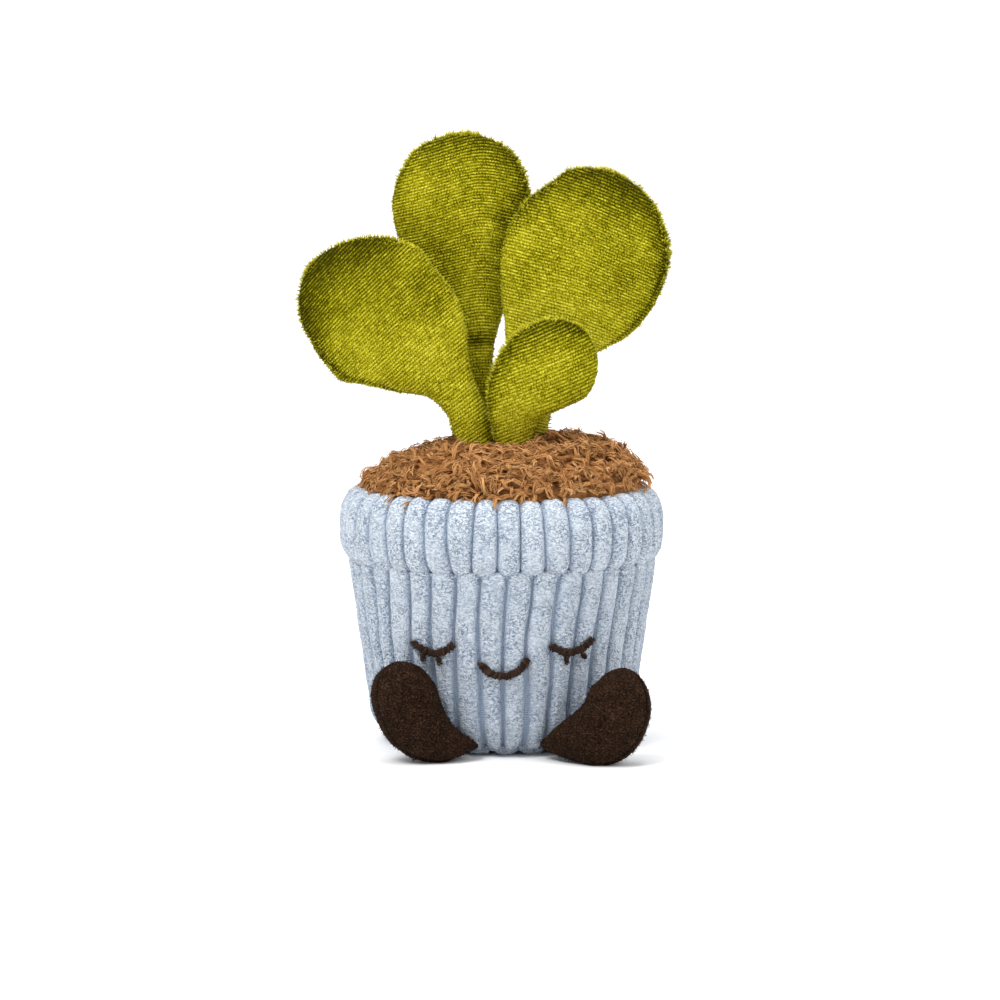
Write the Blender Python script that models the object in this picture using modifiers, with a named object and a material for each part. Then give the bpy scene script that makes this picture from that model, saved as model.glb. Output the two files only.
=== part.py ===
"""A plush toy of a potted rubber plant, sitting on its pot with two feet in front.

The pot is a tapered tube of chunky cord fabric with a puffed rim band and a flat base disc. A domed cap of
curly fur fabric stands for the soil, and four padded velour leaves are sewn to it. Every leaf and foot is a
front and a back panel, sewn together round the edge, with filling inside. The pot holds a bag of beans and
loose filling. The origin is the centre of the base's underside. Front is -Y, up is +Z, units are metres.
"""

import math
from collections import namedtuple

import bmesh
import bpy
from mathutils import Vector

# Pot
FOOT_RADIUS = 0.0347          # of the wall, if its lower corner were sharp
SHOULDER_RADIUS = 0.0411      # of the wall, just under the rim band
WALL_BOTTOM = 0.0009
WALL_TOP = 0.0485
WALL_CORNER = 0.0045          # rounding of the wall's lower edge
WALL_WALES = 36               # ribs of the cord fabric round the wall
CORD_THICKNESS = 0.0030       # chunky cord fabric with its pile
GROOVE_DEPTH = 0.0010         # between two wales
BASE_RADIUS = 0.0298
BASE_EDGE = 0.0009
TURN_STEPS = 48
GAP = 0.0003                  # between pieces that touch

# Rim band, a puffed ring from the wall's top edge to the soil's edge
RIM_BOTTOM = WALL_TOP + GAP
RIM_TOP = 0.0692
RIM_SEAM_RADIUS = 0.0376
RIM_BULGE = 0.0063
RIM_SQUARENESS = 0.6          # exponent of the section: 1 is an ellipse, less is boxier
RIM_WALES = 40
RIM_TURN = math.radians(-1.7)     # the rim's wales don't line up with the wall's

# Soil cap, a dome of fur fabric
SOIL_RADIUS = RIM_SEAM_RADIUS - 2 * GAP
SOIL_EDGE_Z = 0.0672
SOIL_RISE = 0.0145
FUR_THICKNESS = 0.0035

# Inside the pot
BEAN_BAG_RADIUS = 0.0285
BEAN_BAG_TOP = 0.0150

# Leaves and feet
VELOUR_THICKNESS = 0.0012
SUEDE_THICKNESS = 0.0014
HALF_TURN_COLUMNS = 6         # strips across one panel, and across the filling's half
ROWS_PER_STATION = 2
TIP_ROWS = 5

# A padded piece: the midline from its root to its tip, where its front faces, its half-thickness at the
# root and at its widest, and its outline. The outline lists shares of the midline's length with the
# half-widths to its left and right there. The last one is the widest, before the rounded tip.
Pad = namedtuple("Pad", "midline face root_puff puff outline")

LEAVES = {
    "leaf_left": Pad(
        [(-0.0061, -0.0035, 0.0800), (-0.0108, -0.0045, 0.0921),
         (-0.0297, -0.0025, 0.1127), (-0.0519, 0.0035, 0.1277)],
        (0.08, -1.0, 0.10), 0.0036, 0.0052,
        [(0.00, 0.0045, 0.0045), (0.20, 0.0053, 0.0054), (0.30, 0.0070, 0.0086),
         (0.45, 0.0144, 0.0162), (0.64, 0.0199, 0.0193)]),
    "leaf_back": Pad(
        [(-0.0066, 0.0075, 0.0800), (-0.0070, 0.0095, 0.1053),
         (-0.0099, 0.0150, 0.1348), (-0.0104, 0.0228, 0.1640)],
        (0.0, -1.0, 0.10), 0.0036, 0.0052,
        [(0.00, 0.0041, 0.0041), (0.30, 0.0044, 0.0044), (0.40, 0.0074, 0.0072),
         (0.60, 0.0152, 0.0150), (0.76, 0.0191, 0.0190)]),
    "leaf_right": Pad(
        [(0.0076, 0.0050, 0.0800), (0.0100, 0.0020, 0.0959),
         (0.0193, 0.0025, 0.1222), (0.0292, 0.0106, 0.1541)],
        (-0.05, -1.0, 0.10), 0.0036, 0.0052,
        [(0.00, 0.0043, 0.0043), (0.20, 0.0058, 0.0050), (0.35, 0.0130, 0.0095),
         (0.50, 0.0189, 0.0180), (0.66, 0.0206, 0.0220)]),
    "leaf_small": Pad(
        [(0.0039, -0.0060, 0.0800), (0.0031, -0.0090, 0.0897),
         (0.0081, -0.0110, 0.0984), (0.0219, -0.0085, 0.1119)],
        (0.0, -1.0, 0.12), 0.0036, 0.0044,
        [(0.00, 0.0043, 0.0043), (0.15, 0.0050, 0.0062), (0.35, 0.0090, 0.0085),
         (0.62, 0.0114, 0.0132)]),
}

FEET = {
    "foot_left": Pad(
        [(-0.0067, -0.0346, 0.0036), (-0.0138, -0.0376, 0.0062),
         (-0.0224, -0.0385, 0.0112), (-0.0261, -0.0380, 0.0190), (-0.0270, -0.0367, 0.0266)],
        (0.20, -1.0, 0.0), 0.0, 0.0072,
        [(0.00, 0.0, 0.0), (0.15, 0.0045, 0.0029), (0.33, 0.0083, 0.0060),
         (0.50, 0.0094, 0.0082), (0.72, 0.0087, 0.0087)]),
    "foot_right": Pad(
        [(0.0109, -0.0331, 0.0040), (0.0175, -0.0376, 0.0063),
         (0.0260, -0.0420, 0.0105), (0.0316, -0.0410, 0.0178), (0.0324, -0.0390, 0.0250)],
        (-0.25, -1.0, 0.0), 0.0, 0.0072,
        [(0.00, 0.0, 0.0), (0.15, 0.0035, 0.0046), (0.33, 0.0069, 0.0078),
         (0.50, 0.0070, 0.0098), (0.72, 0.0077, 0.0078)]),
}

# Embroidered face. Each line hangs between two ends, given by its middle (x), its ends' mean height, its
# half-width, its sag and the slope from end to end.
Stitch = namedtuple("Stitch", "middle height half sag slope")
SMILE = Stitch(0.0008, 0.0266, 0.0063, 0.0040, 0.07)
EYES = {
    "left": Stitch(-0.0180, 0.0311, 0.0055, 0.0028, 0.0),
    "right": Stitch(0.0186, 0.0313, 0.0056, 0.0028, 0.09),
}
LASH_OFFSETS = {"inner": -0.0012, "outer": 0.0023}     # from the middle of the eye, outwards
LASH_LENGTH = 0.0016
LASH_SLANT = 0.3
THREAD_RADIUS = 0.0008
ARC_POINTS = 9

COLOURS = {
    "cord": ((0.50, 0.58, 0.68), 0.95),
    "fur": ((0.30, 0.13, 0.045), 0.95),
    "velour": ((0.28, 0.27, 0.012), 0.80),
    "suede": ((0.030, 0.015, 0.009), 0.90),
    "thread": ((0.045, 0.022, 0.014), 0.60),
    "fibre": ((0.80, 0.80, 0.78), 1.00),
    "calico": ((0.62, 0.56, 0.46), 0.95),
}


def material(kind):
    """The material of that kind, made once."""
    found = bpy.data.materials.get(kind)
    if found:
        return found
    colour, roughness = COLOURS[kind]
    made = bpy.data.materials.new(kind)
    made.use_nodes = True
    shader = made.node_tree.nodes["Principled BSDF"]
    shader.inputs["Base Color"].default_value = (*colour, 1.0)
    shader.inputs["Roughness"].default_value = roughness
    shader.inputs["Metallic"].default_value = 0.0
    return made


def add_object(name, data, kind, collection):
    """Puts mesh or curve data in the collection as a named object with its material."""
    data.materials.append(material(kind))
    obj = bpy.data.objects.new(name, data)
    collection.objects.link(obj)
    return obj


def arc(centre, radius, start, end, steps):
    """Points (r, z) along an arc, from the start angle to the end angle in degrees."""
    angles = [math.radians(start + (end - start) * i / steps) for i in range(steps + 1)]
    return [(centre[0] + radius * math.cos(a), centre[1] + radius * math.sin(a)) for a in angles]


def turned(name, outline, kind, collection, closed, steps=TURN_STEPS):
    """A solid turned round Z from (r, z) points down its outer side. A closed outline makes a ring."""
    mesh = bpy.data.meshes.new(name)
    edges = [(i, i + 1) for i in range(len(outline) - 1)]
    if closed:
        edges.append((len(outline) - 1, 0))
    mesh.from_pydata([(r, 0.0, z) for r, z in outline], edges, [])
    obj = add_object(name, mesh, kind, collection)
    screw = obj.modifiers.new("turn", "SCREW")
    screw.axis = "Z"
    screw.angle = 2 * math.pi
    screw.steps = steps
    screw.render_steps = steps
    screw.use_merge_vertices = True
    screw.merge_threshold = 0.00001
    screw.use_smooth_shade = True
    return obj


def press_grooves(obj, wales, is_outside):
    """Presses the grooves between wales into the outside of a piece turned in two steps per wale."""
    bpy.context.view_layer.update()
    evaluated = obj.evaluated_get(bpy.context.evaluated_depsgraph_get())
    mesh = bpy.data.meshes.new_from_object(evaluated)
    obj.modifiers.clear()
    obj.data = mesh
    for vertex in mesh.vertices:
        x, y, z = vertex.co
        radius = math.hypot(x, y)
        step = round(math.atan2(y, x) / (math.pi / wales))
        if step % 2 == 0 and is_outside(radius, z):
            shrink = (radius - GROOVE_DEPTH) / radius
            vertex.co = (x * shrink, y * shrink, z)


def wall_radius(z):
    """Outer radius of the pot's wall at a height, with its rounded lower edge."""
    radius = FOOT_RADIUS + (SHOULDER_RADIUS - FOOT_RADIUS) * z / WALL_TOP
    above_bottom = z - WALL_BOTTOM
    if above_bottom < WALL_CORNER:
        rise = WALL_CORNER - max(above_bottom, 0.0)
        radius -= WALL_CORNER - math.sqrt(WALL_CORNER**2 - rise**2)
    return radius


def make_pot_wall(collection):
    levels = [WALL_TOP, 0.8 * WALL_TOP, 0.55 * WALL_TOP, 0.3 * WALL_TOP]
    levels += [WALL_BOTTOM + WALL_CORNER * (1 - math.cos(math.radians(a))) for a in (90, 62, 40, 20)]
    outer = [(wall_radius(z), z) for z in levels]
    lip_radius = BASE_RADIUS + GAP
    lip = [(lip_radius, WALL_BOTTOM), (lip_radius, WALL_BOTTOM + CORD_THICKNESS)]
    inner = [(wall_radius(z) - CORD_THICKNESS, z) for z in (0.15 * WALL_TOP, 0.5 * WALL_TOP, WALL_TOP)]
    wall = turned("pot_wall", outer + lip + inner, "cord", collection, closed=True, steps=2 * WALL_WALES)
    press_grooves(wall, WALL_WALES, lambda r, z: r > max(wall_radius(z) - CORD_THICKNESS / 2, lip_radius + GAP))


def make_pot_base(collection):
    bpy.ops.mesh.primitive_cylinder_add(
        vertices=TURN_STEPS, radius=BASE_RADIUS, depth=CORD_THICKNESS, location=(0, 0, CORD_THICKNESS / 2))
    obj = bpy.context.object
    obj.name = obj.data.name = "pot_base"
    for holder in list(obj.users_collection):
        holder.objects.unlink(obj)
    collection.objects.link(obj)
    obj.data.materials.append(material("cord"))
    bevel = obj.modifiers.new("soft_edge", "BEVEL")
    bevel.width = BASE_EDGE
    bevel.segments = 2
    bevel.limit_method = "ANGLE"


def rim_point(angle, inset):
    """A point (r, z) of the rim band's section, at an angle in degrees above its middle."""
    middle = (RIM_TOP + RIM_BOTTOM) / 2
    half = (RIM_TOP - RIM_BOTTOM) / 2 - inset
    across, up = math.cos(math.radians(angle)), math.sin(math.radians(angle))
    r = RIM_SEAM_RADIUS + (RIM_BULGE - inset) * max(across, 0.0) ** RIM_SQUARENESS
    return r, middle + half * math.copysign(abs(up) ** RIM_SQUARENESS, up)


def outside_rim(radius, z):
    """Whether a point lies in the outer half of the rim band's cloth, clear of its two seams."""
    middle = (RIM_TOP + RIM_BOTTOM) / 2
    half = (RIM_TOP - RIM_BOTTOM) / 2 - CORD_THICKNESS / 2
    up = min(abs(z - middle) / half, 1.0) ** (1 / RIM_SQUARENESS)
    bulge = (RIM_BULGE - CORD_THICKNESS / 2) * (1 - up**2) ** (RIM_SQUARENESS / 2)
    return radius > RIM_SEAM_RADIUS + max(bulge, GAP)


def make_rim_band(collection):
    outer = [rim_point(a, 0.0) for a in (90, 76, 58, 35, 12, -12, -35, -58, -76, -90)]
    inner = [rim_point(a, CORD_THICKNESS) for a in (-90, -55, 0, 55, 90)]
    rim = turned("rim_band", outer + inner, "cord", collection, closed=True, steps=2 * RIM_WALES)
    press_grooves(rim, RIM_WALES, outside_rim)
    rim.rotation_euler.z = RIM_TURN


def soil_sphere(inset):
    """Radius, centre height and half angle in degrees of the sphere that the soil cap is cut from."""
    radius = (SOIL_RADIUS**2 + SOIL_RISE**2) / (2 * SOIL_RISE)
    centre = SOIL_EDGE_Z + SOIL_RISE - radius
    return radius - inset, centre, math.degrees(math.asin(SOIL_RADIUS / radius))


def soil_height(x, y):
    """Height of the soil cap's outside over the point (x, y)."""
    radius, centre, _ = soil_sphere(0.0)
    return centre + math.sqrt(radius**2 - x**2 - y**2)


def soil_outline(inset, steps):
    """Points (r, z) down a shell of the soil cap, from its top to its edge."""
    radius, centre, half_angle = soil_sphere(inset)
    return arc((0.0, centre), radius, 90.0, 90.0 - half_angle, steps)


def make_soil_cap(collection):
    outer = soil_outline(0.0, 6)
    inner = soil_outline(FUR_THICKNESS, 6)[::-1]
    turned("soil_cap", outer + inner, "fur", collection, closed=False)


def make_pot_inside(collection):
    """The filling under the soil cap, and the bag of beans below it."""
    dome = soil_outline(FUR_THICKNESS + GAP, 6)
    rim = [rim_point(a, CORD_THICKNESS + GAP) for a in (55, 0, -55)]
    neck_radius = RIM_SEAM_RADIUS - 2 * GAP
    neck = [(neck_radius, RIM_BOTTOM + CORD_THICKNESS + GAP), (neck_radius, RIM_BOTTOM)]
    wall_levels = [share * WALL_TOP for share in (0.95, 0.6, 0.34)]
    wall = [(wall_radius(z) - CORD_THICKNESS - 2 * GAP, z) for z in wall_levels]
    floor = [(BEAN_BAG_RADIUS, BEAN_BAG_TOP + GAP), (0.0, BEAN_BAG_TOP + GAP)]
    turned("pot_filling", dome + rim + neck + wall + floor, "fibre", collection, closed=False)
    bottom = CORD_THICKNESS + GAP
    half = (BEAN_BAG_TOP - bottom) / 2
    side = arc((BEAN_BAG_RADIUS - half, bottom + half), half, 90, -90, 6)
    turned("bean_bag", [(0.0, BEAN_BAG_TOP), *side, (0.0, bottom)], "calico", collection, closed=False)


def curve_point(points, q, beyond=None):
    """A point at share q of a smooth curve through the points, and the curve's direction there."""
    spans = len(points) - 1
    span = min(int(q * spans), spans - 1)
    t = q * spans - span
    ends = [Vector(p) for p in points]
    after = Vector(beyond) if beyond else 2 * ends[-1] - ends[-2]
    ends = [2 * ends[0] - ends[1], *ends, after]
    p0, p1, p2, p3 = ends[span:span + 4]
    c1, c2, c3 = (p2 - p0) / 2, p0 - 2.5 * p1 + 2 * p2 - p3 / 2, (p3 - p0) / 2 + 1.5 * (p1 - p2)
    return p1 + t * (c1 + t * (c2 + t * c3)), (c1 + t * (2 * c2 + 3 * t * c3)).normalized()


def midline_point(points, share, steps=60):
    """The point at a share of the midline's length, the direction there, and the whole length."""
    places = [curve_point(points, i / steps)[0] for i in range(steps + 1)]
    lengths = [0.0]
    for a, b in zip(places, places[1:]):
        lengths.append(lengths[-1] + (b - a).length)
    wanted = min(max(share, 0.0), 1.0) * lengths[-1]
    step = min(next((i for i in range(1, steps) if lengths[i] > wanted), steps), steps)
    part = (wanted - lengths[step - 1]) / (lengths[step] - lengths[step - 1])
    place, along = curve_point(points, (step - 1 + part) / steps)
    return place, along, lengths[-1]


def pad_rows(pad):
    """Rows of a padded piece, each with its share of the midline and its half-widths left and right."""
    widest, left, right = pad.outline[-1]
    before = pad.outline[-2]
    mirror = (2 * widest - before[0], before[1], before[2])
    count = ROWS_PER_STATION * (len(pad.outline) - 1)
    rows = [tuple(curve_point(pad.outline, i / count, mirror)[0]) for i in range(count)]
    for i in range(TIP_ROWS + 1):
        turn = math.pi / 2 * i / TIP_ROWS
        narrow = math.cos(turn) if i < TIP_ROWS else 0.0
        rows.append((widest + (1 - widest) * math.sin(turn), left * narrow, right * narrow))
    return rows


def shrunk(size, inset):
    """A half-size less the inset, but still more than nothing where the piece is thin."""
    return size**2 / (size + inset) if size > 0 else 0.0


def pad_ring(pad, row, inset, angles, lift):
    """Points round a padded piece's section. An angle of 0 is its right seam, 90 degrees the front's middle."""
    share, left, right = row
    rooted = pad.root_puff > 0
    widest = pad.outline[-1][0]
    trim = inset / midline_point(pad.midline, 0.0)[2]
    start = 0.0 if rooted else 2 * trim
    if share < widest:
        place = start + share * (widest - start) / widest
    else:
        place = widest + (share - widest) * (1 - widest - trim) / (1 - widest)
    centre, along, _ = midline_point(pad.midline, place)
    face = Vector(pad.face)
    face = (face - face.dot(along) * along).normalized()
    across = along.cross(face)
    if share < widest:
        puff = pad.root_puff + (pad.puff - pad.root_puff) * math.sin(math.pi / 2 * share / widest)
    else:
        puff = pad.puff * math.sqrt(max(1 - ((share - widest) / (1 - widest)) ** 2, 0.0))
    puff = shrunk(puff, inset)
    ring = []
    for angle in angles:
        up, out = math.sin(angle), math.cos(angle)
        width = shrunk(right if out > 0 else left, inset)
        height = math.copysign(lift, up) + max(puff - lift, 0.0) * up
        ring.append(centre + width * out * across + height * face)
    if share == 0 and rooted:
        for point in ring:
            point.z = soil_height(point.x, point.y) + GAP
    return ring


def mesh_of(name, rings, faces):
    """A closed mesh from rows of points, with coincident points made one."""
    bm = bmesh.new()
    verts = [bm.verts.new(p) for ring in rings for p in ring]
    for face in faces:
        bm.faces.new([verts[i] for i in face])
    bmesh.ops.remove_doubles(bm, verts=bm.verts, dist=0.000001)
    bmesh.ops.dissolve_degenerate(bm, dist=0.000001, edges=bm.edges)
    bmesh.ops.recalc_face_normals(bm, faces=bm.faces)
    mesh = bpy.data.meshes.new(name)
    bm.to_mesh(mesh)
    bm.free()
    mesh.shade_smooth()
    return mesh


def make_panel(name, pad, side, cloth, kind, collection):
    """One sewn panel of a padded piece, front (side 1) or back (side -1): a shell that ends at the seam."""
    n = HALF_TURN_COLUMNS + 1
    angles = [side * math.pi * i / HALF_TURN_COLUMNS for i in range(n)]
    rows = pad_rows(pad)
    outer = [pad_ring(pad, row, 0.0, angles, GAP / 2) for row in rows]
    inner = [pad_ring(pad, row, cloth, angles, GAP / 2) for row in rows]
    m = len(rows)
    skin = n * m
    faces = []
    for i in range(m - 1):
        for j in range(n - 1):
            a, b, c, d = i * n + j, i * n + j + 1, (i + 1) * n + j + 1, (i + 1) * n + j
            faces += [(a, b, c, d), (skin + d, skin + c, skin + b, skin + a)]
        for j in (0, n - 1):
            a, b = i * n + j, (i + 1) * n + j
            faces.append((a, b, skin + b, skin + a))
    if pad.root_puff > 0:
        faces += [(j, j + 1, skin + j + 1, skin + j) for j in range(n - 1)]
    add_object(name, mesh_of(name, outer + inner, faces), kind, collection)


def make_filling(name, pad, cloth, collection):
    """The filling of a padded piece: a closed loft just inside its two panels."""
    n = 2 * HALF_TURN_COLUMNS
    angles = [2 * math.pi * i / n for i in range(n)]
    rings = [pad_ring(pad, row, cloth + 2 * GAP, angles, 0.0) for row in pad_rows(pad)]
    faces = [(i * n + j, i * n + (j + 1) % n, (i + 1) * n + (j + 1) % n, (i + 1) * n + j)
             for i in range(len(rings) - 1) for j in range(n)]
    if pad.root_puff > 0:
        faces.append(tuple(range(n)))
    add_object(name, mesh_of(name, rings, faces), "fibre", collection)


def make_padded_piece(name, pad, cloth, kind, collection):
    make_panel(name + "_front", pad, 1, cloth, kind, collection)
    make_panel(name + "_back", pad, -1, cloth, kind, collection)
    make_filling(name + "_filling", pad, cloth, collection)


def make_stitch(name, places, collection):
    """A satin-stitched line through places (x, z) on the front of the pot's wall."""
    curve = bpy.data.curves.new(name, "CURVE")
    curve.dimensions = "3D"
    curve.bevel_depth = THREAD_RADIUS
    curve.bevel_resolution = 2
    curve.use_fill_caps = True
    line = curve.splines.new("POLY")
    line.points.add(len(places) - 1)
    for point, (x, z) in zip(line.points, places):
        radius = wall_radius(z) + THREAD_RADIUS + GAP
        point.co = (x, -math.sqrt(radius**2 - x**2), z, 1.0)
    add_object(name, curve, "thread", collection)


def stitch_height(stitch, x):
    """Height of a hanging line at x."""
    share = (x - stitch.middle) / stitch.half
    return stitch.height + stitch.slope * (x - stitch.middle) - stitch.sag * (1 - share**2)


def make_line(name, stitch, collection):
    xs = [stitch.middle + stitch.half * (2 * i / (ARC_POINTS - 1) - 1) for i in range(ARC_POINTS)]
    make_stitch(name, [(x, stitch_height(stitch, x)) for x in xs], collection)


def make_face(collection):
    make_line("smile", SMILE, collection)
    for label, eye in EYES.items():
        make_line(label + "_eye", eye, collection)
        outwards = math.copysign(1.0, eye.middle)
        for lash, offset in LASH_OFFSETS.items():
            x = eye.middle + outwards * offset
            top = stitch_height(eye, x) - 1.6 * THREAD_RADIUS - GAP
            slant = outwards * math.copysign(LASH_SLANT, offset)
            steps = [LASH_LENGTH * i / 2 for i in range(3)]
            make_stitch(f"{label}_lash_{lash}", [(x + slant * step, top - step) for step in steps], collection)


def main():
    for obj in list(bpy.data.objects):
        bpy.data.objects.remove(obj)
    collection = bpy.data.collections.new("plush_potted_plant")
    bpy.context.scene.collection.children.link(collection)
    make_pot_wall(collection)
    make_pot_base(collection)
    make_rim_band(collection)
    make_soil_cap(collection)
    make_pot_inside(collection)
    for name, leaf in LEAVES.items():
        make_padded_piece(name, leaf, VELOUR_THICKNESS, "velour", collection)
    for name, foot in FEET.items():
        make_padded_piece(name, foot, SUEDE_THICKNESS, "suede", collection)
    make_face(collection)


main()
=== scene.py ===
"""The looks of a plush toy of a potted rubber plant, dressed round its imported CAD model.

Every visible piece is a mesh made here: ribbed cord for the pot, curly pile for the soil, padded velour
leaves, suedette feet and satin stitches for the face. All lengths are in metres, with +Z up and -Y in
front, unless a name or a comment says millimetres.
"""

import math

import bpy
import numpy as np
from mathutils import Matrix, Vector, noise


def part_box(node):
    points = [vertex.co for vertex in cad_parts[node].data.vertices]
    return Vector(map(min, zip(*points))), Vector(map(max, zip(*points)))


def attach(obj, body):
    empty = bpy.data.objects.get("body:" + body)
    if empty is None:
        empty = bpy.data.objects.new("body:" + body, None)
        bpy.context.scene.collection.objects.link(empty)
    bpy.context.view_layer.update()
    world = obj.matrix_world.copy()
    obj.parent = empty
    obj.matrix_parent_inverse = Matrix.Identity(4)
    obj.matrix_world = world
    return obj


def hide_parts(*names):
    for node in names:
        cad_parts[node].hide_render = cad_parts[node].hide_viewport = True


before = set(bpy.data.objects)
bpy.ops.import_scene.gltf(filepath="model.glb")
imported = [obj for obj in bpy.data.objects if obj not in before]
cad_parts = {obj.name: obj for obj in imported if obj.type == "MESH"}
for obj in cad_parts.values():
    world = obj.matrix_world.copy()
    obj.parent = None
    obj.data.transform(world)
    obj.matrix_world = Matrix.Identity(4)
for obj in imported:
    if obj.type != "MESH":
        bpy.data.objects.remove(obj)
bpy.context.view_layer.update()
BODY = "root"
UP = np.array((0.0, 0.0, 1.0))
MM = 0.001
TURN = 2 * math.pi

# Camera: its distance, how far it looks down, and the width that the frame covers at the toy
CAMERA_DISTANCE = 1.2
CAMERA_ELEVATION = math.radians(6.0)
VIEW_WIDTH = 0.27
VIEW_CENTRE = Vector((-0.0004, 0.0, 0.0652))
SENSOR_WIDTH = 36.0
LIT_POINT = Vector((0.0, 0.0, 0.08))

# Pot, from the CAD solids
wall_low, wall_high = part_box("pot_wall")
rim_low, rim_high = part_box("rim_band")
soil_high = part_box("soil_cap")[1]
base_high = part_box("pot_base")[1]
WALL_TOP = wall_high.z
WALL_BOTTOM = wall_low.z
WALL_TAPER = 6.4 / 48.5   # of the radius against the height
WALL_TOP_RADIUS = wall_high.x
WALL_CORNER = 0.0100
WALL_TUCK = 0.0016        # radius at which the cloth turns in under the rim
WALL_BEHIND_RIM = 0.0021  # height of the cloth that the rim hides
HIDDEN_HEM = 0.0040       # cloth beyond a seam, inside the pot
WALL_WALES = 36
WALL_SEED = 1
WALL_SHIFT = 0.0002       # the wall sits this much to the right under the rim
WALL_LEAN = 0.16          # how far its wales lean under the rim, in pitches
RIM_RADIUS = rim_high.x
RIM_SEAM_RADIUS = soil_high.x + 0.0006
RIM_WALES = 40
RIM_TURN = math.radians(-1.7)
BASE_RADIUS = base_high.x - 0.0012
BASE_EDGE = 0.0016
STUFFING_GAP = 0.0052     # between the wall's cloth and the stuffing behind it

# Cord fabric: a wale is a soft half-round rib, with the bare ground between it and the next
WALE_DEPTH = 0.0025
WALL_SHARE = 0.95         # of the pitch that a wale covers
RIM_SHARE = 0.99
LOW_OPENING = 0.09        # of that share, lost near the floor
SEAM_DEPTH = 0.36         # of the wale depth that is left at a seam
WALE_SWAY = 0.19          # how far a wale wanders, in pitches
KNIT_PITCH = 0.0006

# Soil: a dome of cloth under curly pile
SOIL_RADIUS = 0.0362
SOIL_EDGE_Z = rim_high.z - 0.0040
SOIL_RISE = 0.0150
SOIL_TILT = 0.0020        # the right side is this much higher, and the left lower
TUFT_HEIGHT = 0.0015      # relief of the pile that lies on the dome
LOCK_COUNT = 1620
STRANDS_A_LOCK = 3

# Ribbed velour, the seams of the leaves and feet, and their pile
RIB_HEIGHT = 0.00007
STITCH_PITCH = 0.00080
LEAF_ROOT_PUFF = 0.0038   # half-thickness of a stalk
LEAF_PILE_PER_MM = 28
FOOT_PUFF = 0.0074        # half-thickness of a foot
FOOT_PILE_COUNT = 2300
SEAM_DENT = 0.0005
SEAM_WIDTH = 0.0005

# Satin stitch
THREAD_STEP = 0.00034
LINE_WIDTH = 0.0021


# -------- small tools

def smoothstep(low, high, x):
    t = np.clip((x - low) / (high - low), 0.0, 1.0)
    return t * t * (3 - 2 * t)


def noise_at(points, size, seed):
    """Smooth noise from -1 to 1 at each point (..., 3), with lumps of about the given size."""
    places = (points / size + 17.3 * seed).reshape(-1, 3).tolist()
    return np.array([noise.noise(place) for place in places]).reshape(points.shape[:-1])


def normalised(vectors):
    return vectors / np.maximum(np.linalg.norm(vectors, axis=-1, keepdims=True), 1e-12)


def smooth_curve(points, samples):
    """Points along a Catmull-Rom curve through the given points."""
    p = np.array(points, float)
    p = np.vstack([2 * p[0] - p[1], p, 2 * p[-1] - p[-2]])
    place = np.linspace(0, len(points) - 1, samples)
    span = np.minimum(place.astype(int), len(points) - 2)
    t = (place - span)[:, None]
    p0, p1, p2, p3 = p[span], p[span + 1], p[span + 2], p[span + 3]
    cubic = 3 * (p1 - p2) + p3 - p0
    return p1 + 0.5 * t * (p2 - p0 + t * (2 * p0 - 5 * p1 + 4 * p2 - p3 + t * cubic))


def steps(line):
    return np.linalg.norm(np.diff(line, axis=0), axis=1)


def evenly_spaced(points, count):
    """The same line as count points at even distances, and the distance of each from the start."""
    points = np.array(points, float)
    lengths = np.concatenate([[0.0], np.cumsum(steps(points))])
    places = np.linspace(0.0, lengths[-1], count)
    return np.stack([np.interp(places, lengths, column) for column in points.T], 1), places


def grid_faces(rows, columns):
    """Quads of a grid of points whose last column joins its first."""
    i, j = np.meshgrid(np.arange(rows - 1), np.arange(columns), indexing="ij")
    k = (j + 1) % columns
    corners = (i * columns + j, (i + 1) * columns + j, (i + 1) * columns + k, i * columns + k)
    return np.stack(corners, -1).reshape(-1, 4)


def capped_faces(rows, columns):
    """The same quads, with a flat cap on the first row and on the last."""
    first = np.arange(columns)
    return [grid_faces(rows, columns), first[None, ::-1], (first + (rows - 1) * columns)[None]]


def around(angle):
    """The outward direction at an angle, counted from the front towards +X."""
    return np.stack([np.sin(angle), -np.cos(angle), np.zeros_like(angle)], -1)


def all_round(count):
    return around(np.linspace(0, TURN, count, endpoint=False))


def turned(line, direction):
    """The points (rows, columns, 3) of an (r, z) line at each outward direction."""
    return line[:, None, 0, None] * direction + line[:, None, 1, None] * UP


def shifts(amounts, directions):
    """Amounts (rows, columns) along each row's own direction (rows, 3)."""
    return amounts[..., None] * directions[:, None]


def side_steps(grid):
    return np.roll(grid, -1, axis=1) - np.roll(grid, 1, axis=1)


def pad_normals(grid):
    """Outward unit normals of a padded piece's grid of points (rows, columns, 3)."""
    return normalised(np.cross(np.gradient(grid, axis=0), side_steps(grid)))


def cell_sizes(grid):
    """Area round each point of a grid whose columns close."""
    down = np.linalg.norm(np.gradient(grid, axis=0), axis=-1)
    return down * np.linalg.norm(side_steps(grid), axis=-1) / 2


def add_object(name, data):
    made = bpy.data.objects.new(name, data)
    bpy.context.scene.collection.objects.link(made)
    return made


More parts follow.
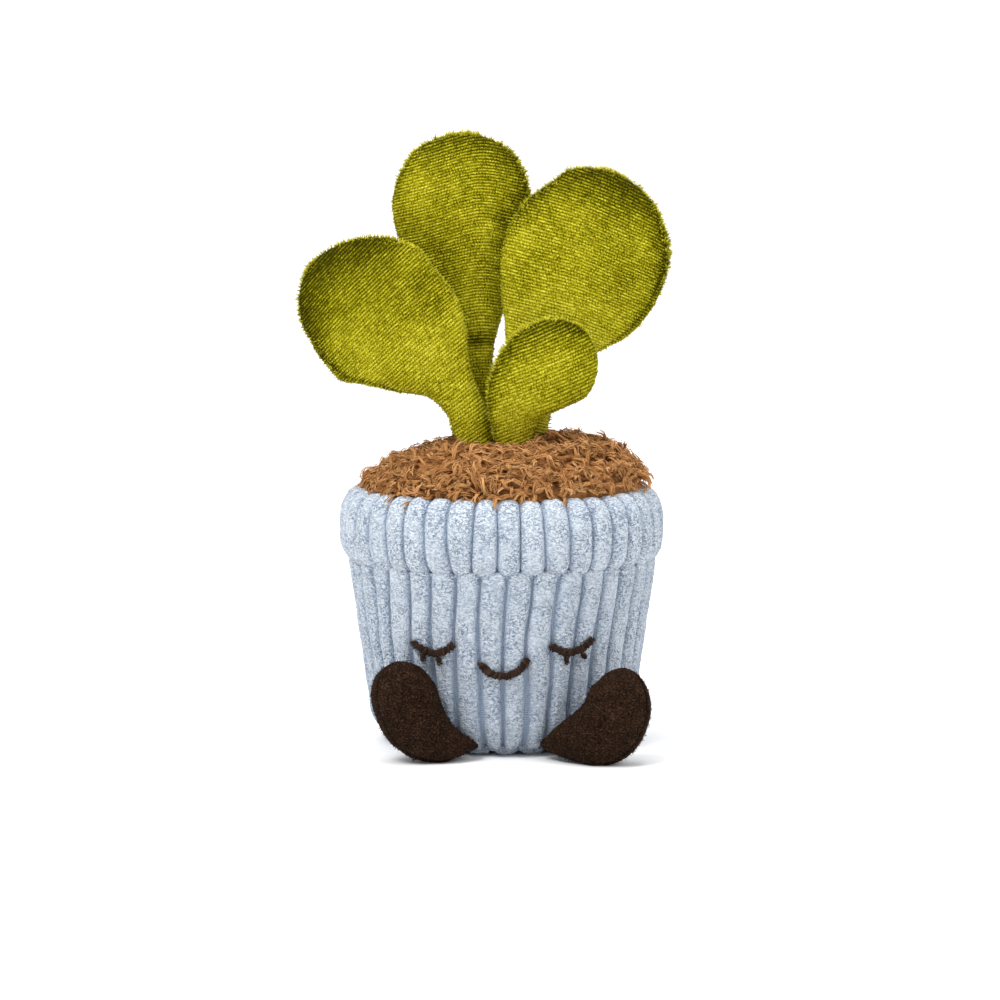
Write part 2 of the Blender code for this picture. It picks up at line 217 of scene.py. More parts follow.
def make_mesh(name, points, face_sets, material, slot, **attributes):
    """A smooth mesh that rides on the toy: each face set is an array of faces with as many corners as it
    has columns. The attributes are floats, one a point."""
    mesh = bpy.data.meshes.new(name)
    mesh.vertices.add(points.size // 3)
    mesh.vertices.foreach_set("co", points.astype(np.float32).ravel())
    corners = np.concatenate([faces.ravel() for faces in face_sets])
    sizes = np.concatenate([np.full(len(faces), faces.shape[1]) for faces in face_sets])
    mesh.loops.add(len(corners))
    mesh.loops.foreach_set("vertex_index", corners.astype(np.int32))
    mesh.polygons.add(len(sizes))
    mesh.polygons.foreach_set("loop_start", (np.cumsum(sizes) - sizes).astype(np.int32))
    mesh.update(calc_edges=True)
    mesh.shade_smooth()
    for key, values in attributes.items():
        data = mesh.attributes.new(key, "FLOAT", "POINT").data
        data.foreach_set("value", values.astype(np.float32).ravel())
    mesh.materials.append(material)
    piece = add_object(name, mesh)
    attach(piece, BODY)
    return piece


# -------- materials

class Shader:
    """A Principled material whose nodes are added one line at a time."""

    def __init__(self, name, roughness, sheen=0.0, sheen_roughness=0.5, specular=0.3, tint=(1.0, 1.0, 1.0)):
        self.material = bpy.data.materials.new(name)
        self.material.use_nodes = True
        self.tree = self.material.node_tree
        self.surface = self.tree.nodes["Principled BSDF"]
        facts = {"Roughness": roughness, "Sheen Weight": sheen, "Sheen Roughness": sheen_roughness,
                 "Sheen Tint": (*tint, 1.0), "Specular IOR Level": specular}
        for key, value in facts.items():
            self.surface.inputs[key].default_value = value

    def add(self, kind, inputs=(), **settings):
        """A node, with its settings, and its inputs by name or number as a value or a node's socket."""
        node = self.tree.nodes.new(kind)
        for key, value in settings.items():
            setattr(node, key, value)
        for key, value in dict(inputs).items():
            if isinstance(value, bpy.types.NodeSocket):
                self.tree.links.new(value, node.inputs[key])
            else:
                node.inputs[key].default_value = value
        return node

    def attribute(self, name):
        return self.add("ShaderNodeAttribute", attribute_name=name).outputs["Fac"]

    def math(self, operation, a, b=0.0, c=0.0):
        return self.add("ShaderNodeMath", {0: a, 1: b, 2: c}, operation=operation).outputs[0]

    def times(self, a, b):
        return self.math("MULTIPLY", a, b)

    def plus(self, value, part, amount, middle=0.0):
        """The value, and an amount of a part counted from its middle."""
        if middle:
            part = self.math("SUBTRACT", part, middle)
        return self.math("MULTIPLY_ADD", part, amount, value)

    def wave(self, turns):
        """From 0 to 1, and 1 at every whole number of turns."""
        return self.math("MULTIPLY_ADD", self.math("COSINE", self.times(turns, TURN)), 0.5, 0.5)

    def remap(self, value, low, high, to_low=0.0, to_high=1.0, curve="LINEAR"):
        """The value's range from low to high, stretched to another and held at its ends."""
        ends = {"From Min": low, "From Max": high, "To Min": to_low, "To Max": to_high}
        node = self.add("ShaderNodeMapRange", {"Value": value, **ends}, interpolation_type=curve)
        return node.outputs["Result"]

    def vector(self, operation, a, b):
        return self.add("ShaderNodeVectorMath", {0: a, 1: b}, operation=operation).outputs[0]

    def place(self):
        return self.add("ShaderNodeTexCoord").outputs["Object"]

    def noise(self, size, detail=2.0, distortion=0.0):
        """Noise from 0 to 1 over the object, with lumps of about the given size."""
        facts = {"Vector": self.place(), "Scale": 1 / size, "Detail": detail, "Distortion": distortion}
        return self.add("ShaderNodeTexNoise", facts).outputs["Fac"]

    def ramp(self, value, stops):
        """A colour ramp from (place, colour) stops."""
        node = self.add("ShaderNodeValToRGB", {0: value})
        elements = node.color_ramp.elements
        while len(elements) < len(stops):
            elements.new(0.5)
        for element, (place, colour) in zip(elements, stops):
            element.position = place
            element.color = (*colour, 1.0)
        return node.outputs["Color"]

    def mix(self, share, a, b):
        """Colour a, and a share of colour b."""
        node = self.add("ShaderNodeMix", {0: share}, data_type="RGBA")
        for socket, value in ((node.inputs[6], a), (node.inputs[7], b)):
            if isinstance(value, bpy.types.NodeSocket):
                self.tree.links.new(value, socket)
            else:
                socket.default_value = (*value, 1.0)
        return node.outputs[2]

    def finish(self, colour, height=None, bump=0.0, distance=0.0003):
        self.tree.links.new(colour, self.surface.inputs["Base Color"])
        if height is not None:
            made = self.add("ShaderNodeBump", {"Strength": bump, "Distance": distance, "Height": height})
            self.tree.links.new(made.outputs["Normal"], self.surface.inputs["Normal"])
        return self.material


def crevices(s, size, width, sway, gaps):
    """The nubs of a pile and the thin winding cracks between them. Gives 1 in a crack and 0 on a nub, where
    more gaps close more of the cracks up, and each nub's domed height from 0 to 1."""
    place = s.vector("MULTIPLY", s.place(), (1.0, 1.0, 1.5))
    wander = s.add("ShaderNodeTexNoise", {"Vector": place, "Scale": 1.1 / size, "Detail": 1.0})
    wander = s.vector("SUBTRACT", wander.outputs["Color"], (0.5, 0.5, 0.5))
    moved = s.vector("ADD", place, s.vector("MULTIPLY", wander, 3 * (sway * size,)))
    cells = s.add("ShaderNodeTexVoronoi", {"Vector": moved, "Scale": 1 / size}, feature="DISTANCE_TO_EDGE")
    edge = cells.outputs["Distance"]
    line = s.remap(edge, 0.0, width, 1.0, 0.0, curve="SMOOTHSTEP")
    closed = s.add("ShaderNodeTexNoise", {"Vector": place, "Scale": 1.7 / size, "Detail": 0.0})
    kept = s.remap(closed.outputs["Fac"], gaps - 0.06, gaps + 0.08, curve="SMOOTHSTEP")
    return s.times(line, kept), s.remap(edge, 0.0, 0.5, curve="SMOOTHSTEP")


def cord_material():
    """Chenille cord: pale nubby wales with winding cracks, and the finely knitted ground between them, with
    painted shade in the cracks, down the wales' flanks and at the floor of each groove.
    """
    s = Shader("cord_chenille", 0.95, sheen=0.24, specular=0.05, tint=(0.9, 0.95, 1.0))
    groove = s.attribute("groove")
    coarse, nubs = crevices(s, 0.00155, 0.14, 1.6, 0.47)
    fine, small_nubs = crevices(s, 0.00100, 0.17, 1.3, 0.51)
    crinkle = s.math("MAXIMUM", coarse, s.times(fine, 0.6))
    crown = s.remap(groove, 0.20, 0.80, 1.0, 0.70)
    worn = s.remap(s.noise(0.0045, detail=1.0), 0.36, 0.64, 0.50, 1.10)
    crinkle = s.times(s.times(crinkle, crown), worn)
    fuzz = s.remap(s.noise(0.00050, detail=1.0, distortion=0.6), 0.40, 0.66, 0.0, 0.25)

    pale = s.ramp(s.noise(0.010), [(0.3, (0.622, 0.680, 0.747)), (0.7, (0.680, 0.733, 0.794))])
    # painted shade: the pile darkens towards blue down each wale's flanks, into the groove
    pale = s.mix(s.remap(groove, 0.14, 0.66, 0.0, 0.60), pale, (0.290, 0.385, 0.530))
    # painted shade in the cracks: the pile is mixed towards deep blue along them, and in fine random specks
    pile = s.mix(s.plus(fuzz, crinkle, 0.84), pale, (0.150, 0.238, 0.380))
    courses = s.math("SINE", s.times(s.attribute("along"), TURN / KNIT_PITCH))
    ground = s.ramp(s.math("MULTIPLY_ADD", courses, 0.5, 0.5), [
        (0.0, (0.325, 0.405, 0.530)), (1.0, (0.570, 0.645, 0.755))])
    # painted shade at the floor of each groove
    ground = s.mix(s.remap(groove, 0.80, 0.98, 0.0, 0.15), ground, (0.110, 0.165, 0.270))
    depth = s.remap(groove, 0.55, 0.86, curve="SMOOTHSTEP")
    # painted shade: the colour is mixed towards dark blue where this value is below 1, low on the wall and
    # at the base
    colour = s.mix(s.attribute("tone"), (0.0, 0.04, 0.12), s.mix(depth, pile, ground))

    height = s.plus(s.math("SUBTRACT", nubs, crinkle), small_nubs, 0.4)
    height = s.times(height, s.math("SUBTRACT", 1.0, depth))
    height = s.plus(height, s.noise(0.00035, detail=1.0, distortion=0.8), 0.3)
    height = s.plus(height, s.times(courses, depth), 0.15)
    return s.finish(colour, height, bump=0.9, distance=0.00036)


def velour_material():
    """Stretch velour: fine knitted ribs in bright and dark dashes, with painted shade between the ribs,
    over a value for each point that holds the pile's tone with painted shade and painted light.
    """
    s = Shader("velour_ribbed", 0.7, 0.05, sheen_roughness=0.35, specular=0.02, tint=(0.95, 0.90, 0.05))
    rib = s.attribute("rib")
    along = s.attribute("along")
    nap = s.attribute("nap")
    crest = s.wave(rib)
    row = s.math("ROUND", rib)
    lane = s.add("ShaderNodeCombineXYZ", {0: s.times(along, 0.45), 1: s.times(row, 5.7)}).outputs[0]
    dash = s.add("ShaderNodeTexNoise", {"Vector": lane, "Scale": 1.0, "Detail": 1.5, "Roughness": 0.6},
                 noise_dimensions="2D").outputs["Fac"]
    slip = s.add("ShaderNodeTexWhiteNoise", {"W": row}, noise_dimensions="1D").outputs["Value"]
    stitch = s.math("POWER", s.wave(s.math("ADD", along, slip)), 5.0)
    stitch = s.times(stitch, s.remap(s.noise(0.0013, detail=1.0), 0.36, 0.60))
    fibres = s.noise(0.00022, detail=1.0, distortion=0.6)

    # painted shade: the ribs are lighter at their crests and darker between them, more so where the pile is
    # dark
    relief = s.remap(nap, 0.35, 0.65, 0.52, 0.24)
    value = s.plus(nap, s.math("POWER", crest, 0.45), relief, middle=0.68)
    value = s.plus(value, s.times(s.math("SUBTRACT", dash, 0.5), crest), 0.72)
    value = s.plus(value, stitch, -0.30)
    value = s.plus(value, fibres, 1.70, middle=0.5)
    colour = s.ramp(value, [
        (0.05, (0.022, 0.020, 0.0001)), (0.28, (0.090, 0.082, 0.0003)), (0.50, (0.240, 0.218, 0.0032)),
        (0.74, (0.460, 0.420, 0.0180)), (1.0, (0.740, 0.690, 0.0700))])
    height = s.plus(s.plus(s.plus(crest, dash, 0.8), stitch, -0.35), fibres, 0.6)
    return s.finish(colour, height, bump=0.6, distance=0.00022)


def suede_material():
    """Suedette: a dense dark fleece whose short fibres part in little winding cracks, with painted shade in
    the cracks and painted light on the domes of the nubs.
    """
    s = Shader("suedette", 0.95, sheen=0.02, specular=0.06, tint=(0.75, 0.50, 0.35))
    cracks, nubs = crevices(s, 0.00090, 0.22, 1.5, 0.44)
    fibres = s.noise(0.00030, distortion=1.0)
    value = s.plus(s.attribute("shade"), fibres, 1.3, middle=0.5)
    # painted light and shade: each nub's dome is lighter and each crack darker
    value = s.plus(value, nubs, 0.35, middle=0.4)
    value = s.plus(value, cracks, -0.35)
    colour = s.ramp(value, [
        (0.0, (0.0060, 0.0027, 0.0012)), (0.5, (0.0380, 0.0175, 0.0084)), (1.0, (0.124, 0.064, 0.035))])
    height = s.plus(fibres, s.math("SUBTRACT", nubs, cracks), 0.8)
    return s.finish(colour, height, bump=1.0, distance=0.00045)


def pile_material(name, stops, roughness, sheen, grain, tint, bump, mottle=0.35):
    """Short or curly pile, coloured from each point's shade, which holds its own tone and a painted shade
    that is darker low down near the cloth.
    """
    s = Shader(name, roughness, sheen=sheen, specular=0.10, tint=tint)
    grains = s.noise(grain, distortion=0.6)
    value = s.plus(s.attribute("shade"), grains, mottle, middle=0.5)
    return s.finish(s.ramp(value, stops), grains, bump=bump)


def plain_cloth(name, low, high, size):
    s = Shader(name, 0.9, sheen=0.2, specular=0.1)
    grain = s.noise(size, detail=3.0, distortion=0.5)
    return s.finish(s.ramp(grain, [(0.3, low), (0.7, high)]), grain, bump=0.6, distance=0.0008)


CORD = cord_material()
VELOUR = velour_material()
FUZZ = pile_material("velour_edge_pile", [
    (0.0, (0.060, 0.056, 0.0003)), (0.5, (0.270, 0.250, 0.0040)), (1.0, (0.720, 0.660, 0.0400))],
    0.7, 0.06, 0.0006, (0.95, 0.90, 0.05), 0.2)
SOIL = pile_material("soil_curly_pile", [
    (0.0, (0.105, 0.038, 0.008)), (0.35, (0.300, 0.128, 0.038)), (0.65, (0.470, 0.225, 0.078)),
    (1.0, (0.680, 0.380, 0.160))], 0.95, 0.06, 0.0004, (1.0, 0.8, 0.6), 0.5)
SUEDE = suede_material()
THREAD = pile_material("embroidery_thread", [
    (0.0, (0.008, 0.0035, 0.0016)), (0.5, (0.026, 0.0125, 0.0070)), (1.0, (0.090, 0.048, 0.030))],
    0.6, 0.08, 0.0003, (0.8, 0.6, 0.5), 0.4, 0.5)
FIBRE = plain_cloth("filling_fibre", (0.70, 0.70, 0.68), (0.88, 0.88, 0.86), 0.002)
CALICO = plain_cloth("bean_bag_calico", (0.52, 0.46, 0.37), (0.68, 0.62, 0.52), 0.0006)


# -------- pot of cord fabric

def wale_height(across, share):
    """Height over the ground of a wale's full, rounded section: across is 0 at its crest and 1 in the
    middle of a groove."""
    return np.clip(1 - (np.abs(across) / share) ** 2.5, 0, 1) ** 0.4


def wale_sway(phase, z, wales, seed):
    """How far the wales wander at a phase, counted in wales round the pot, and a height."""
    spots = around(phase * TURN / wales) * wall_high.x
    spots[..., 2] = 0.4 * z
    return WALE_SWAY * noise_at(spots, 0.009, seed)


def cord_tone(z):
    """Painted shade on the cloth, 1 where there is none: the wall is painted a little darker than the rim,
    and most so near the floor.
    """
    return 1.0 - 0.08 * smoothstep(0.052, 0.046, z) - 0.09 * smoothstep(0.036, 0.004, z)


def cord_ring(name, section, wales, turn, per_wale, rows, pinch, share, node, seed, shift=0.0, lean=0.0):
    """Cord cloth turned round the pot's axis: section is an (r, z) line from the top down, along which the
    wales run. They narrow and round off towards its ends by the pinch, a length, and lean by a part of the
    pitch at the top. The share is theirs of the pitch."""
    line, along = evenly_spaced(section, rows)
    run = normalised(np.gradient(line, axis=0))
    outward = np.stack([-run[:, 1], run[:, 0]], 1)
    step = np.arange(per_wale) / per_wale
    step = step - 0.35 * np.sin(TURN * step) / TURN
    phase = (np.arange(wales)[:, None] + step).ravel()[None, :] * np.ones((rows, 1))
    z = line[:, 1, None] * np.ones_like(phase)
    swayed = phase + wale_sway(phase, z, wales, seed) + lean * smoothstep(0.018, 0.0, line[0, 1] - z)
    direction = around(turn + swayed * TURN / wales)
    place = turned(line, direction)

    end = (np.minimum(along, along[-1] - along)[:, None] - HIDDEN_HEM) / pinch
    rounding = np.sqrt(np.clip(1 - (1 - np.clip(end, 0, 1)) ** 2, 0, 1))
    opening = 1 - LOW_OPENING * smoothstep(0.042, 0.012, z)
    crest = wale_height(2 * (phase % 1.0) - 1, share * opening * (0.90 + 0.10 * rounding))
    lumps = noise_at(place, 0.0065, seed + 1)
    nubs = np.abs(noise_at(place, 0.0010, seed + 2))
    small = noise_at(place, 0.0006, seed + 3)
    depth = WALE_DEPTH * (SEAM_DEPTH + (1 - SEAM_DEPTH) * rounding)
    lift = -depth * (1 - crest) + crest * (0.00030 * (nubs - 0.3) + 0.00010 * small) + 0.00025 * lumps
    points = place + lift[..., None] * turned(outward, direction) + (shift, 0.0, 0.0)
    points[..., 2] = np.maximum(points[..., 2], 0.0)
    piece = make_mesh(name, points, [grid_faces(rows, phase.shape[1])], CORD, "cord", groove=1 - crest,
                      along=np.repeat(along, phase.shape[1]), tone=cord_tone(points[..., 2]))
    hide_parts(node)


def wall_radius(z):
    return WALL_TOP_RADIUS - WALL_TAPER * (WALL_TOP - z) + 0.0005 * smoothstep(0.008, 0.022, z)


def arc_points(centre, radius, start, end, steps=16):
    angles = np.radians(np.linspace(start, end, steps))
    return [(centre[0] + radius * math.cos(a), centre[1] + radius * math.sin(a)) for a in angles]


def make_wall():
    top_z = WALL_TOP + WALL_BEHIND_RIM - WALL_TUCK
    turn_radius = wall_radius(top_z) - WALL_TUCK
    top = [(turn_radius - HIDDEN_HEM, top_z)] + arc_points((turn_radius, top_z), WALL_TUCK, 90, 0)
    corner_z = WALL_BOTTOM + WALL_CORNER
    corner = arc_points((wall_radius(corner_z) - WALL_CORNER, corner_z), WALL_CORNER, 0, -90)
    end = [(BASE_RADIUS - HIDDEN_HEM, WALL_BOTTOM)]
    cord_ring("pot_wall_cloth", top + corner + end, WALL_WALES, 0.0, 20, 102, 0.0030, WALL_SHARE,
              "pot_wall", WALL_SEED, WALL_SHIFT, WALL_LEAN)


def make_rim():
    middle = (rim_low.z + rim_high.z) / 2
    half = (rim_high.z - rim_low.z) / 2
    bulge = RIM_RADIUS - RIM_SEAM_RADIUS
    section = [(RIM_SEAM_RADIUS - HIDDEN_HEM, rim_high.z - 0.002)]
    for angle in np.radians(np.linspace(90, -90, 90)):
        across = max(math.cos(angle), 0.0)
        up = math.sin(angle)
        power = 0.88 if up > 0 else 0.76
        section.append((RIM_SEAM_RADIUS + bulge * across**power,
                        middle + half * math.copysign(abs(up) ** power, up)))
    section.append((RIM_SEAM_RADIUS - HIDDEN_HEM, rim_low.z))
    cord_ring("rim_band_cloth", section, RIM_WALES, RIM_TURN, 18, 86, 0.0060, RIM_SHARE, "rim_band", 5)


def make_filling():
    """The pot's stuffing, shrunk a little so that it stays behind the cloth at every seam."""
    low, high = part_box("pot_filling")
    columns = 48
    sides = [(wall_radius(z) - STUFFING_GAP, z) for z in np.linspace(low.z, WALL_TOP + 0.004, 8)]
    dome = [(r, min(soil_height(r, 0.0), high.z) - 0.0035) for r in np.linspace(0.033, 0.0005, 10)]
    line = np.array([(0.0005, low.z)] + sides + dome)[::-1]
    piece = make_mesh("pot_filling_fibre", turned(line, all_round(columns)),
                      capped_faces(len(line), columns), FIBRE, "fibre")
    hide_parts("pot_filling")


def make_base():
    """A disc of the same cord, its wales running from front to back. Only its edge shows."""
    rings, columns = 22, 200
    radii = BASE_RADIUS * np.sin(np.linspace(0.004, 1, rings) * math.pi / 2)
    drops = np.maximum(radii - BASE_RADIUS + BASE_EDGE, 0)
    flat = [(r, BASE_EDGE - math.sqrt(max(BASE_EDGE**2 - drop**2, 0))) for r, drop in zip(radii, drops)]
    line = np.array([(0.0005, base_high.z), (BASE_RADIUS - BASE_EDGE, base_high.z),
                     (BASE_RADIUS, 2 * BASE_EDGE)] + flat[::-1])
    points = turned(line, all_round(columns))
    pitch = TURN * WALL_TOP_RADIUS / WALL_WALES
    crest = wale_height(2 * ((points[..., 0] / pitch + 0.35) % 1.0) - 1, WALL_SHARE)
    under = line[:, 1, None] < 1.5 * BASE_EDGE
    points[..., 2] += 0.8 * WALE_DEPTH * (1 - crest) * under
    piece = make_mesh("pot_base_cloth", points, [grid_faces(len(line), columns)], CORD, "cord",
                      groove=1 - crest, along=points[..., 1], tone=cord_tone(points[..., 2]))
    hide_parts("pot_base")


# -------- tufts and fibres

def strand_faces(count, rings, sides):
    """Faces of many closed strands, each a tube of rings that starts on a flat end and runs to a point."""
    start = ((rings * sides + 1) * np.arange(count))[:, None, None]
    tube = grid_faces(rings, sides)[None] + start
    last, point = (rings - 1) * sides, rings * sides
    tip = np.array([(last + k, point, last + (k + 1) % sides) for k in range(sides)])[None] + start
    root = np.arange(sides)[None, None, :] + start
    return [tube.reshape(-1, 4), tip.reshape(-1, 3), root.reshape(-1, sides)]


def strands(name, lines, thickness, shades, material, slot, sides=3, flatness=1.0, wide=None, streaks=None):
    """Closed tapering strands along lines (count, points, 3), the last point of each being its tip. Flat
    ones are wide along a direction a strand, and streaks (count, sides) shade their sides."""
    run = normalised(np.gradient(lines, axis=1))
    if wide is None:
        wide = normalised(lines[:, -1] - lines[:, 0] + 1e-5) + (0.3, 0.2, -0.4)
    second = normalised(np.cross(run, wide[:, None] + 0.02 * run[:, ::-1]))
    first = np.cross(run, second)
    angle = TURN * np.arange(sides) / sides
    ring = np.cos(angle)[:, None] * first[:, :-1, None]
    ring = ring + flatness * np.sin(angle)[:, None] * second[:, :-1, None]
    tube = lines[:, :-1, None] + 0.5 * thickness[:, :-1, None, None] * ring
    count, rings = tube.shape[:2]
    points = np.concatenate([tube.reshape(count, -1, 3), lines[:, -1:]], 1)
    shade = np.repeat(shades[:, :-1, None], sides, 2)
    if streaks is not None:
        shade = shade + streaks[:, None]
    shade = np.concatenate([shade.reshape(count, -1), shades[:, -1:]], 1)
    return make_mesh(name, points, strand_faces(count, rings, sides), material, slot, shade=shade)


def spikes(name, roots, directions, length, width, shade, material, slot, rng):
    """Short straight fibres, painted darker at the root and lighter at the tip."""
    bend = rng.normal(0, 0.25, roots.shape) * length[:, None]
    lines = np.stack([roots, roots + 0.5 * length[:, None] * directions + 0.3 * bend,
                      roots + length[:, None] * directions + bend], 1)
    thickness = width[:, None] * np.array([1.0, 0.8, 0.0])
    # painted shade: each fibre is darker at its root and lighter at its tip
    shades = shade[:, None] + np.array([-0.12, 0.05, 0.22])
    strands(name, lines, thickness, shades, material, slot)


def scattered(grid, normal, weight, count, sink, upright, spread, rng):
    """Random roots over a piece, more where the weight is great: the number of each one's grid point, the
    root, sunk a little, and the way that its fibre points."""
    picked = rng.choice(weight.size, count, p=(weight / weight.sum()).ravel())
    out = normal.reshape(-1, 3)[picked]
    roots = grid.reshape(-1, 3)[picked] + rng.normal(0, 0.00010, (count, 3)) - sink * out
    return picked, roots, normalised(upright * out + rng.normal(0, spread, out.shape))


# -------- soil

def soil_height(x, y):
    share = np.minimum(np.hypot(x, y) / SOIL_RADIUS, 1.0)
    crown = SOIL_RISE * np.sqrt(1 - share**2.5) + SOIL_TILT * x / SOIL_RADIUS
    heap = 0.0013 * np.exp(-(((x - 0.024) / 0.013) ** 2 + (y / 0.022) ** 2))
    return SOIL_EDGE_Z + crown + heap


def soil_normal(x, y, step=0.0006):
    inward = np.minimum(1.0, 0.985 * SOIL_RADIUS / np.maximum(np.hypot(x, y), 1e-9))
    x, y = x * inward, y * inward
    slope_x = (soil_height(x + step, y) - soil_height(x - step, y)) / (2 * step)
    slope_y = (soil_height(x, y + step) - soil_height(x, y - step)) / (2 * step)
    return normalised(np.stack([-slope_x, -slope_y, np.ones_like(x)], -1))


def near_stalks(points, radius):
    """1 where the stalks leave the soil, and falling to 0 at about the radius."""
    return np.exp(-((np.hypot(points[:, 0] - 0.001, points[:, 1] + 0.006) / radius) ** 4))


def tuft_relief(points):
    """Relief from 0 to 1 of tufts that lie over each other in many directions, each a winding ridge."""
    bend = np.stack([noise_at(points, 0.0042, seed) for seed in (31, 32, 33)], 1)
    warped = points + 0.0016 * bend
    relief = np.zeros(len(points))
    for k in range(6):
        heading = math.radians(31 + 67 * k)
        along = np.array((math.cos(heading), math.sin(heading), 0.5 * math.sin(2.4 * k)))
        along /= np.linalg.norm(along)
        squeezed = warped - 0.80 * np.outer(warped @ along, along)
        ridge = 1 - 2.6 * np.abs(noise_at(squeezed, 0.0014, 40 + k))
        layer = 0.62 * ridge + 0.55 * noise_at(points, 0.0050, 50 + k)
        relief = np.maximum(relief, layer)
    return np.clip(relief, 0.0, 1.0)


def curly_locks(count, grid, normals, rng):
    """Flat wavy locks that rise from the soil's cloth and lie over it, some standing up at their ends, each
    with finer loose strands along it."""
    flat = grid.reshape(-1, 3)
    reach = np.hypot(flat[:, 0], flat[:, 1]) / SOIL_RADIUS
    weight = cell_sizes(grid).ravel() * (1 + 1.1 * smoothstep(0.78, 0.94, reach)) * (reach < 0.999)
    picked = rng.choice(len(flat), count, p=weight / weight.sum())
    root = flat[picked] - 0.0008 * normals[picked] + rng.normal(0, 0.0002, (count, 3))
    normal = soil_normal(root[:, 0], root[:, 1])
    at_stalks = near_stalks(root, 0.0125)
    border = smoothstep(0.72, 0.95, reach[picked])

    outward = normalised(root * (1.0, 1.0, 0.0))
    lean = normalised(rng.normal(size=(count, 3))) + (0.2 + 0.5 * border)[:, None] * outward
    lean = normalised(lean - np.sum(lean * normal, 1, keepdims=True) * normal)
    side = np.cross(normal, lean)
    length = rng.uniform(0.0048, 0.0088, count) * (1 - 0.20 * border) * (1 - 0.25 * at_stalks)
    height = rng.uniform(0.0008, 0.0022, count) * (1 - 0.5 * at_stalks) + 0.0012 * border
    waves = rng.uniform(0.8, 1.4, count) * rng.choice((-1.0, 1.0), count)
    width = rng.uniform(0.0005, 0.0010, count)
    phase = rng.uniform(0, TURN, count)
    standing = rng.random(count) < 0.17 + 0.08 * smoothstep(-0.005, 0.020, root[:, 0])
    stand = rng.uniform(0.0012, 0.0026, count) * standing * (1 - at_stalks)

    def centre_lines(points):
        t = np.linspace(0, 1, points)[None, :]
        swing = TURN * waves[:, None] * t + phase[:, None]
        away = width[:, None] * np.minimum(2.5 * t, 1.0)
        rise = height[:, None] * np.sin(2.4 * t**0.8) + stand[:, None] * t**1.4
        line = root[:, None] + shifts(length[:, None] * t**1.1, lean) + shifts(rise, normal)
        line = line + shifts(away * np.sin(swing), side)
        return line + shifts(0.45 * away * np.cos(1.3 * swing), normal), t

    # painted shade and light: locks are darker at the root and lighter towards the tip, and standing locks
    # are painted lighter, over random tone
    own = rng.normal(0.0, 0.11, (count, 1)) + 0.10 * standing[:, None]
    line, t = centre_lines(9)
    thick = rng.uniform(0.00075, 0.00115, (count, 1)) * (0.60 + 0.70 * t - 1.05 * t**3)
    streaks = rng.normal(0.0, 0.11, (count, 6))
    strands("soil_locks", line, thick, 0.36 + 0.26 * t + own, SOIL, "fur", 6, 0.6, side, streaks)

    lines, shades, thickness = [], [], []
    line, t = centre_lines(7)
    for _ in range(STRANDS_A_LOCK):
        turn = rng.uniform(0, TURN, (count, 1)) + rng.uniform(-2.5, 2.5, (count, 1)) * t
        spread = rng.uniform(0.00025, 0.00050, (count, 1)) * (1 + 1.9 * t**2)
        above = spread * (0.25 + 0.75 * np.abs(np.sin(turn)))
        lines.append(line + shifts(spread * np.cos(turn), side) + shifts(above, normal))
        # painted shade at the root and painted light towards the tip, over random tone
        shades.append(0.46 + 0.32 * t + own + rng.normal(0, 0.08, (count, 1)))
        thickness.append(rng.uniform(0.00020, 0.00031, (count, 1)) * (1 - 0.5 * t**2))
    strands("soil_fibres", np.concatenate(lines), np.concatenate(thickness), np.concatenate(shades),
            SOIL, "fur")


def make_soil():
    rng = np.random.default_rng(11)
    rings, columns = 92, 340
    radius = SOIL_RADIUS * np.sin(np.linspace(0.01, math.pi / 2, rings)) ** 0.9
    grid = radius[:, None, None] * all_round(columns)[None]
    grid[..., 2] = soil_height(grid[..., 0], grid[..., 1])
    flat = grid.reshape(-1, 3)
    relief = tuft_relief(flat)
    normals = soil_normal(flat[:, 0], flat[:, 1])
    flat += (TUFT_HEIGHT * relief * (1 - 0.4 * near_stalks(flat, 0.012)))[:, None] * normals
    # painted shade: the cloth is darker in the hollows between tufts and lighter on their tops
    cloth = make_mesh("soil_cloth", flat, [grid_faces(rings, columns)], SOIL, "fur",
                      shade=0.16 + 0.40 * relief)
    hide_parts("soil_cap")
    curly_locks(LOCK_COUNT, grid, normals, rng)


# -------- padded pieces

